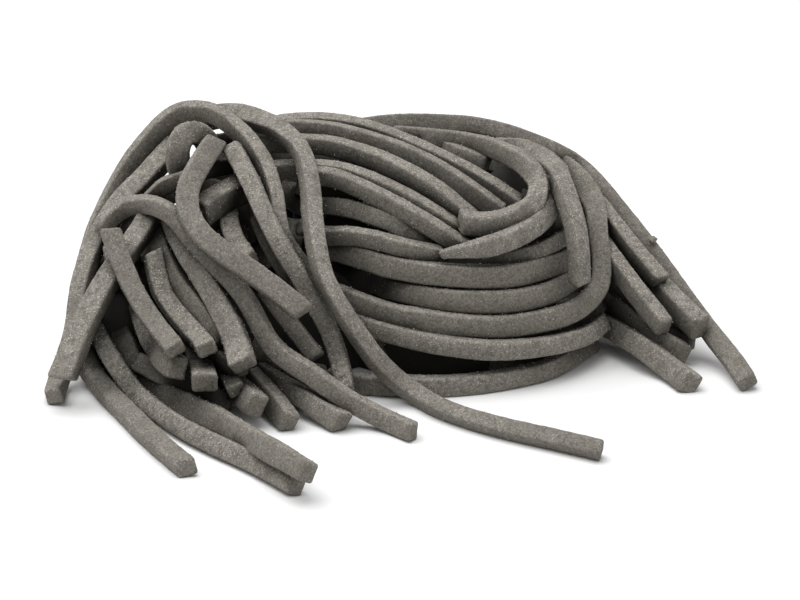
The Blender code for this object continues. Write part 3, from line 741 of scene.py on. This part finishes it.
# the hidden half: rings up the back of the coil, over its top, and drapes behind the arch
hiddenLook = {
    "centre": (5.0, 21.0),
    "radius": (21.5, 23.5),
    "layers": 8,
    "layerRise": 2.9,
    "layerShrink": 0.015,
    "startDeg": 212.0,
    "startSpreadDeg": 12.0,
    "sweepDeg": 205.0,
    "sweepSpreadDeg": (-15.0, 10.0),
    "ringMarks": 9,
    "wander": 1.2,
    "wave": 0.8,
    "topHeight": 18.0,
    "topDrop": 8.0,           # how much lower the middle lies
    "topScales": (0.84, 0.70, 0.56, 0.40),
    "drapeCount": 11,
    "drapeX": (-40.5, -13.0),
    "drapeTopY": 7.0,
    "drapeTopHeights": (16.5, 20.5),
    "drapeKnee": (14.0, 11.0),
    "drapeFootY": 17.5,
    "drapeFlare": 0.15,
    "flareFromX": -15.0,      # where the drapes hang straight
    "leanSpread": 3.0,
    "reachSpread": (-3.0, 2.5),
    "topSpread": 1.5,
    "flour": (0.3, 0.5),
    "topFlour": (0.0, 0.15),
    "sizes": (0.95, 1.2),
    "firstNumber": 100,       # sets their ends and wobble apart from the traced ones
}


def ringRoute(rng, scale, height):
    look = hiddenLook
    start = math.radians(
        look["startDeg"] + rng.uniform(-look["startSpreadDeg"], look["startSpreadDeg"]))
    sweep = math.radians(look["sweepDeg"] + rng.uniform(*look["sweepSpreadDeg"]))
    phase = rng.uniform(0.0, 2 * math.pi)
    points = []
    for s in np.linspace(0.0, 1.0, look["ringMarks"]):
        angle = start - sweep * s
        wander = look["wander"] * math.sin(3 * angle + phase)
        x = look["centre"][0] + (look["radius"][0] * scale + wander) * math.cos(angle)
        y = look["centre"][1] + (look["radius"][1] * scale + wander) * math.sin(angle)
        z = height + look["wave"] * math.sin(2 * angle + phase)
        points.append((x, y, max(settling["tableCentreHeight"], z)))
    return smoothRoute(points, settling["sampleStep"])


def hiddenRoutes(rng):
    look = hiddenLook
    routes = []
    for layer in range(look["layers"]):
        height = settling["tableCentreHeight"] + layer * look["layerRise"]
        routes.append((ringRoute(rng, 1.0 - look["layerShrink"] * layer, height), look["flour"]))
    for scale in look["topScales"]:
        height = look["topHeight"] - look["topDrop"] * (1.0 - scale)
        routes.append((ringRoute(rng, scale, height), look["topFlour"]))
    knee = look["drapeKnee"]
    places = zip(np.linspace(*look["drapeX"], look["drapeCount"]),
                 np.linspace(*look["drapeTopHeights"], look["drapeCount"]))
    for x, height in places:
        lean = look["drapeFlare"] * (x - look["flareFromX"])
        lean += rng.uniform(-look["leanSpread"], look["leanSpread"])
        reach = rng.uniform(*look["reachSpread"])
        top = rng.uniform(-look["topSpread"], look["topSpread"])
        points = (
            (x + top, look["drapeTopY"], height),
            (x + 0.6 * top, 0.5 * (look["drapeTopY"] + knee[0]), 0.6 * height + 0.4 * knee[1]),
            (x + 0.4 * lean, knee[0] + 0.5 * reach, knee[1]),
            (x + lean, look["drapeFootY"] + reach, settling["tableCentreHeight"]))
        routes.append((smoothRoute(points, settling["sampleStep"]), look["flour"]))
    return routes


# the middle that the strands lie on, coloured near-black as painted shade
coreLook = {
    "lumps": (
        (5.0, 21.5, 18.0, 19.5, 18.0),
        (15.5, 32.5, 8.5, 6.5, 20.3),
        (-14.0, 10.0, 11.0, 6.5, 14.0),
        (-25.0, 7.0, 9.0, 6.0, 12.0),
        (-38.8, 9.5, 3.8, 3.2, 9.6)),
    "sides": 48,
    "rings": 14,
    "relief": 0.5,
    "reliefLength": 3.0,
}


def corePart(lump):
    centreX, centreY, radiusX, radiusY, height = lump
    sides, rings = coreLook["sides"], coreLook["rings"]
    verts, faces = [], [tuple(range(sides - 1, -1, -1))]
    for ring in range(rings):
        lift = math.sin(0.5 * math.pi * ring / rings)
        spread = math.cos(0.5 * math.pi * ring / rings)
        for k in range(sides):
            angle = 2 * math.pi * k / sides
            spot = Vector((
                centreX + radiusX * spread * math.cos(angle),
                centreY + radiusY * spread * math.sin(angle), height * lift))
            bump = coreLook["relief"] * noise.noise(spot / coreLook["reliefLength"])
            verts.append((spot.x + bump, spot.y + bump, max(0.0, spot.z + bump) if ring else 0.0))
    verts.append((centreX, centreY, height))
    for ring in range(rings - 1):
        for k in range(sides):
            a = ring * sides + k
            b = ring * sides + (k + 1) % sides
            faces.append((a, b, b + sides, a + sides))
    for k in range(sides):
        a = (rings - 1) * sides + k
        faces.append((a, (rings - 1) * sides + (k + 1) % sides, len(verts) - 1))
    return {"verts": np.array(verts), "faces": faces}


# the loose grains of semolina on the flour
grainLook = {
    "count": 15000,
    "smallest": 0.045,
    "largest": 0.11,
    "smallBias": 1.8,         # above 1 makes more of them small
    "lift": 0.35,             # of its size, how far a grain stands out
    "stretch": (0.7, 1.3),
    "shadedShare": 0.08,
    "bareShare": 0.12,
    "seed": 5,
}


def randomTurns(rng, count):
    q = rng.normal(size=(count, 4))
    w, x, y, z = (q / np.linalg.norm(q, axis=1)[:, None]).T
    return np.stack([
        np.stack([1 - 2 * (y * y + z * z), 2 * (x * y - z * w), 2 * (x * z + y * w)], axis=1),
        np.stack([2 * (x * y + z * w), 1 - 2 * (x * x + z * z), 2 * (y * z - x * w)], axis=1),
        np.stack([2 * (x * z - y * w), 2 * (y * z + x * w), 1 - 2 * (x * x + y * y)], axis=1),
    ], axis=1)


def grainParts(parts):
    look = grainLook
    rng = np.random.default_rng(look["seed"])
    corners, weights, normals = [], [], []
    for part in parts:
        verts = part["verts"]
        quads = np.array([f for f in part["faces"] if len(f) == 4])
        a, b, c, d = (verts[quads[:, k]] for k in range(4))
        normal = np.cross(c - a, d - b)
        area = np.linalg.norm(normal, axis=1) / 2
        normal = normal / (2 * area[:, None] + 1e-12)
        corners.append(np.stack([a, b, c, d], axis=1))
        dusted = (part["sky"] + look["shadedShare"]) * (part["flour"] + look["bareShare"])
        weights.append(area * dusted[quads].mean(axis=1))
        normals.append(normal)
    corners, normals = np.vstack(corners), np.vstack(normals)
    weights = np.concatenate(weights)
    picked = rng.choice(len(weights), look["count"], p=weights / weights.sum())
    s, t = rng.random((2, look["count"], 1))
    quad = corners[picked]
    spots = (quad[:, 0] * (1 - s) * (1 - t) + quad[:, 1] * s * (1 - t)
             + quad[:, 2] * s * t + quad[:, 3] * (1 - s) * t)
    size = look["smallest"] * (look["largest"] / look["smallest"]) ** (
        rng.random(look["count"]) ** look["smallBias"])
    spots = spots + normals[picked] * size[:, None] * look["lift"]
    shape = np.array([(1, 0, 0), (-1, 0, 0), (0, 1, 0), (0, -1, 0), (0, 0, 1), (0, 0, -1)])
    faces = [(0, 2, 4), (2, 1, 4), (1, 3, 4), (3, 0, 4),
             (2, 0, 5), (1, 2, 5), (3, 1, 5), (0, 3, 5)]
    stretch = rng.uniform(*look["stretch"], (look["count"], 6, 1))
    turned = randomTurns(rng, look["count"])
    grains = np.einsum("nij,kj->nki", turned, shape) * stretch * size[:, None, None]
    verts = spots[:, None, :] + grains
    verts[:, :, 2] = np.maximum(verts[:, :, 2], 0.0)
    allFaces = [tuple(v + 6 * n for v in face) for n in range(look["count"]) for face in faces]
    return {"verts": verts.reshape(-1, 3), "faces": allFaces}


# a chip of dough that stands out of the outline on the right
chipLook = {
    "place": (652.5, 239.5, 18.0),
    "radii": (0.62, 0.45, 0.5),
    "rings": 7,
    "sides": 10,
    "relief": 0.45,
    "reliefLength": 0.45,
}


def chipPart():
    look = chipLook
    centre, radii = tracedPoint(look["place"]), np.array(look["radii"])
    verts, faces = [(0.0, 0.0, 1.0)], []
    for ring in range(1, look["rings"]):
        tilt = math.pi * ring / look["rings"]
        for k in range(look["sides"]):
            turn = 2 * math.pi * k / look["sides"]
            verts.append((math.sin(tilt) * math.cos(turn), math.sin(tilt) * math.sin(turn),
                          math.cos(tilt)))
    verts.append((0.0, 0.0, -1.0))
    for k in range(look["sides"]):
        n = (k + 1) % look["sides"]
        faces.append((0, 1 + k, 1 + n))
        for ring in range(look["rings"] - 2):
            a = 1 + ring * look["sides"]
            faces.append((a + k, a + look["sides"] + k, a + look["sides"] + n, a + n))
        a = 1 + (look["rings"] - 2) * look["sides"]
        faces.append((a + k, len(verts) - 1, a + n))
    bumps = [1.0 + look["relief"] * noise.noise(Vector(v) / look["reliefLength"]) for v in verts]
    verts = centre + np.array(verts) * radii * np.array(bumps)[:, None]
    full = np.ones(len(verts))
    return {"verts": verts, "faces": faces, "flour": full, "open": full, "sky": full}


# colours, worked out on the surface
pastaLook = {
    # deep is painted shade: the colour the dough turns to between the strands, over openRange
    "deep": (0.014, 0.012, 0.009),
    "dough": (0.112, 0.102, 0.086),
    "flour": (0.240, 0.223, 0.196),
    "speck": (0.52, 0.49, 0.44),
    "openRange": (0.16, 0.75),
    "skyRange": (0.02, 0.65),
    "patchNoise": (300.0, 4.0),     # scale and detail
    "patchRange": (0.20, 0.55),
    "blotchNoise": (1300.0, 4.0),
    "blotchRange": (0.30, 0.62),
    "speckNoise": (4200.0, 2.0),
    "speckRange": (0.56, 0.70),
    "gritNoise": (3100.0, 1.0),
    "gritRange": (0.36, 0.64),
    "fallenShare": 0.35,            # flour that lies even on the barer sides
    "dust": 0.17,
    "roughness": (0.77, 0.93),
    "specular": 0.2,
    "bump": 0.35,
    "bumpDistance": 0.0002,         # in metres, as the noise scales are per metre
    "bumpBlotch": 0.6,
}
# the middle's near-black colour is painted shade
paintedShadeCoreFinish = {
    "dark": (0.010, 0.009, 0.007),
    "pale": (0.018, 0.016, 0.013),
    "noise": (300.0, 3.0),
    "roughness": (0.85, 0.95),
}
grainFinish = {
    "dark": (0.28, 0.26, 0.23),
    "pale": (0.55, 0.53, 0.48),
    "noise": (1500.0, 3.0),
    "roughness": (0.75, 0.85),
}
tableFinish = {
    "dark": (0.86, 0.86, 0.86),
    "pale": (0.90, 0.90, 0.90),
    "noise": (3.0, 3.0),
    "roughness": (0.75, 0.85),
}
mottling = {"range": (0.3, 0.7), "bump": 0.1, "bumpDistance": 0.0002}


def newMaterial(name):
    material = bpy.data.materials.new(name)
    material.use_nodes = True
    tree = material.node_tree
    return material, tree, tree.nodes["Principled BSDF"]


def objectPlace(tree):
    return tree.nodes.new("ShaderNodeTexCoord").outputs["Object"]


def noiseNode(tree, place, look):
    node = tree.nodes.new("ShaderNodeTexNoise")
    node.inputs["Scale"].default_value, node.inputs["Detail"].default_value = look
    tree.links.new(place, node.inputs["Vector"])
    return node.outputs["Fac"]


def rangeNode(tree, source, fromRange=(0.0, 1.0), toRange=(0.0, 1.0)):
    node = tree.nodes.new("ShaderNodeMapRange")
    node.inputs["From Min"].default_value, node.inputs["From Max"].default_value = fromRange
    node.inputs["To Min"].default_value, node.inputs["To Max"].default_value = toRange
    tree.links.new(source, node.inputs["Value"])
    return node.outputs["Result"]


def mathNode(tree, kind, a, b):
    node = tree.nodes.new("ShaderNodeMath")
    node.operation = kind
    node.use_clamp = True
    for socket, value in zip(node.inputs, (a, b)):
        if isinstance(value, (int, float)):
            socket.default_value = value
        else:
            tree.links.new(value, socket)
    return node.outputs[0]


def mixNode(tree, factor, a, b):
    node = tree.nodes.new("ShaderNodeMix")
    node.data_type = "RGBA"
    tree.links.new(factor, node.inputs["Factor"])
    for socket, value in ((node.inputs[6], a), (node.inputs[7], b)):
        if isinstance(value, tuple):
            socket.default_value = (*value, 1.0)
        else:
            tree.links.new(value, socket)
    return node.outputs[2]


def attributeNode(tree, name):
    node = tree.nodes.new("ShaderNodeAttribute")
    node.attribute_name = name
    return node.outputs["Fac"]


def addBump(tree, shader, height, strength, distance):
    node = tree.nodes.new("ShaderNodeBump")
    node.inputs["Strength"].default_value = strength
    node.inputs["Distance"].default_value = distance
    tree.links.new(height, node.inputs["Height"])
    tree.links.new(node.outputs["Normal"], shader.inputs["Normal"])


def pastaMaterial():
    look = pastaLook
    material, tree, shader = newMaterial("flouredPasta")
    place = objectPlace(tree)
    patches = noiseNode(tree, place, look["patchNoise"])
    blotch = noiseNode(tree, place, look["blotchNoise"])
    fine = noiseNode(tree, place, look["speckNoise"])
    grit = noiseNode(tree, place, look["gritNoise"])
    # painted shade: bare is 0 where little of the room is seen, and the dough turns to the deep
    # colour there
    bare = rangeNode(tree, attributeNode(tree, "open"), look["openRange"])
    sky = rangeNode(tree, attributeNode(tree, "sky"), look["skyRange"])
    dough = mixNode(tree, bare, look["deep"], look["dough"])
    fallen = mathNode(tree, "MULTIPLY", sky, rangeNode(tree, patches, look["patchRange"]))
    clinging = mathNode(tree, "MULTIPLY", attributeNode(tree, "flour"), fallen)
    cover = mathNode(tree, "ADD", clinging,
                     mathNode(tree, "MULTIPLY", fallen, look["fallenShare"]))
    dusty = mathNode(tree, "MULTIPLY", cover, rangeNode(tree, blotch, look["blotchRange"]))
    base = mixNode(tree, dusty, dough, look["flour"])
    # the dust specks fade out with the same painted shade
    powder = mathNode(tree, "MULTIPLY", rangeNode(tree, grit, look["gritRange"]), bare)
    base = mixNode(tree, mathNode(tree, "MULTIPLY", powder, look["dust"]), base, look["speck"])
    specks = mathNode(tree, "MULTIPLY", cover, rangeNode(tree, fine, look["speckRange"]))
    colour = mixNode(tree, specks, base, look["speck"])
    tree.links.new(colour, shader.inputs["Base Color"])
    tree.links.new(rangeNode(tree, fine, toRange=look["roughness"]), shader.inputs["Roughness"])
    shader.inputs["Specular IOR Level"].default_value = look["specular"]
    relief = mathNode(tree, "ADD", mathNode(tree, "MULTIPLY", blotch, look["bumpBlotch"]), specks)
    addBump(tree, shader, relief, look["bump"], look["bumpDistance"])
    return material


def mottledMaterial(name, finish):
    material, tree, shader = newMaterial(name)
    mottle = noiseNode(tree, objectPlace(tree), finish["noise"])
    share = rangeNode(tree, mottle, mottling["range"])
    tree.links.new(mixNode(tree, share, finish["dark"], finish["pale"]),
                   shader.inputs["Base Color"])
    tree.links.new(rangeNode(tree, mottle, toRange=finish["roughness"]),
                   shader.inputs["Roughness"])
    addBump(tree, shader, mottle, mottling["bump"], mottling["bumpDistance"])
    return material


def buildStrands():
    groups = {"archStrands": archRoutes, "frontStrands": frontRoutes,
              "coilStrands": coilRoutes, "rightStrands": rightRoutes,
              "innerStrands": shadedRoutes}
    traced = [(group, look) for group, table in groups.items() for look in table.values()]
    routes = settle([
        smoothRoute([tracedPoint(mark) for mark in look["route"]], settling["sampleStep"])
        for group, look in traced])
    print("settled", len(routes), "traced strands")
    parts = {group: [] for group in groups}
    for number, ((group, look), route) in enumerate(zip(traced, routes)):
        parts[group].append(strandArrays(route, {**usualLook, **look}, number))
    rng = np.random.default_rng(strandLook["seed"])
    hidden = parts["hiddenStrands"] = []
    for number, (route, flour) in enumerate(hiddenRoutes(rng), hiddenLook["firstNumber"]):
        look = {**usualLook, "size": (rng.uniform(*hiddenLook["sizes"]),), "flour": flour}
        hidden.append(strandArrays(route, look, number))
    return parts


strands = buildStrands()
shownStrands = [part for group in strands.values() for part in group]
measureOpenness(shownStrands)
print("measured how open each strand lies")

pasta = pastaMaterial()
pieces = [meshPiece(group, parts, pasta) for group, parts in strands.items()]
pieces.append(meshPiece("nestMiddle", [corePart(lump) for lump in coreLook["lumps"]],
                        mottledMaterial("shadedMiddle", paintedShadeCoreFinish)))
pieces.append(meshPiece("doughChip", [chipPart()], pasta, smooth=False))
pieces.append(meshPiece("semolinaGrains", [grainParts(shownStrands)],
                        mottledMaterial("semolina", grainFinish), smooth=False))

for piece in pieces:
    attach(piece, "root")
    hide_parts("node")

# table, light and camera, in metres
stageLook = {
    "tableSize": 2.4,
    "tableDrop": 0.0001,      # keeps the table clear of the undersides
    "worldStrength": 0.43,
    "keyPower": 11.4,
    "keySize": 1.1,
    "keyPlace": (-0.2, 0.05, 0.9),
    "fillPower": 0.9,
    "fillSize": 0.9,
    "fillPlace": (0.5, -0.9, 0.5),
}


def addTable():
    half = stageLook["tableSize"] / 2
    mesh = bpy.data.meshes.new("paleTable")
    corners = [(-half, -half, 0), (half, -half, 0), (half, half, 0), (-half, half, 0)]
    mesh.from_pydata(corners, [], [(0, 1, 2, 3)])
    mesh.materials.append(mottledMaterial("paleTable", tableFinish))
    table = bpy.data.objects.new("paleTable", mesh)
    table.location.z = -stageLook["tableDrop"]
    bpy.context.scene.collection.objects.link(table)
    return table


def addLight(name, power, size, place):
    data = bpy.data.lights.new(name, "AREA")
    data.energy = power
    data.size = size
    light = bpy.data.objects.new(name, data)
    light.location = place
    light.rotation_euler = (-Vector(place)).to_track_quat("-Z", "Y").to_euler()
    bpy.context.scene.collection.objects.link(light)


def addWorld():
    world = bpy.data.worlds.new("softRoom")
    world.use_nodes = True
    background = world.node_tree.nodes["Background"]
    background.inputs["Color"].default_value = (1.0, 1.0, 1.0, 1.0)
    background.inputs["Strength"].default_value = stageLook["worldStrength"]
    bpy.context.scene.world = world


def addCamera():
    data = bpy.data.cameras.new("pictureCamera")
    data.sensor_width = picture["sensorWidth"]
    data.lens = data.sensor_width * picture["distance"] / (picture["widthPx"] * picture["mmPerPx"])
    camera = bpy.data.objects.new("pictureCamera", data)
    camera.location = Vector((eye + shift) * mm)
    camera.rotation_euler = Vector(forward).to_track_quat("-Z", "Y").to_euler()
    bpy.context.scene.collection.objects.link(camera)
    bpy.context.scene.camera = camera


table = addTable()
addLight("keyLight", stageLook["keyPower"], stageLook["keySize"], stageLook["keyPlace"])
addLight("fillLight", stageLook["fillPower"], stageLook["fillSize"], stageLook["fillPlace"])
addWorld()
addCamera()
bpy.context.scene.view_settings.view_transform = "Standard"
print("stage ready")
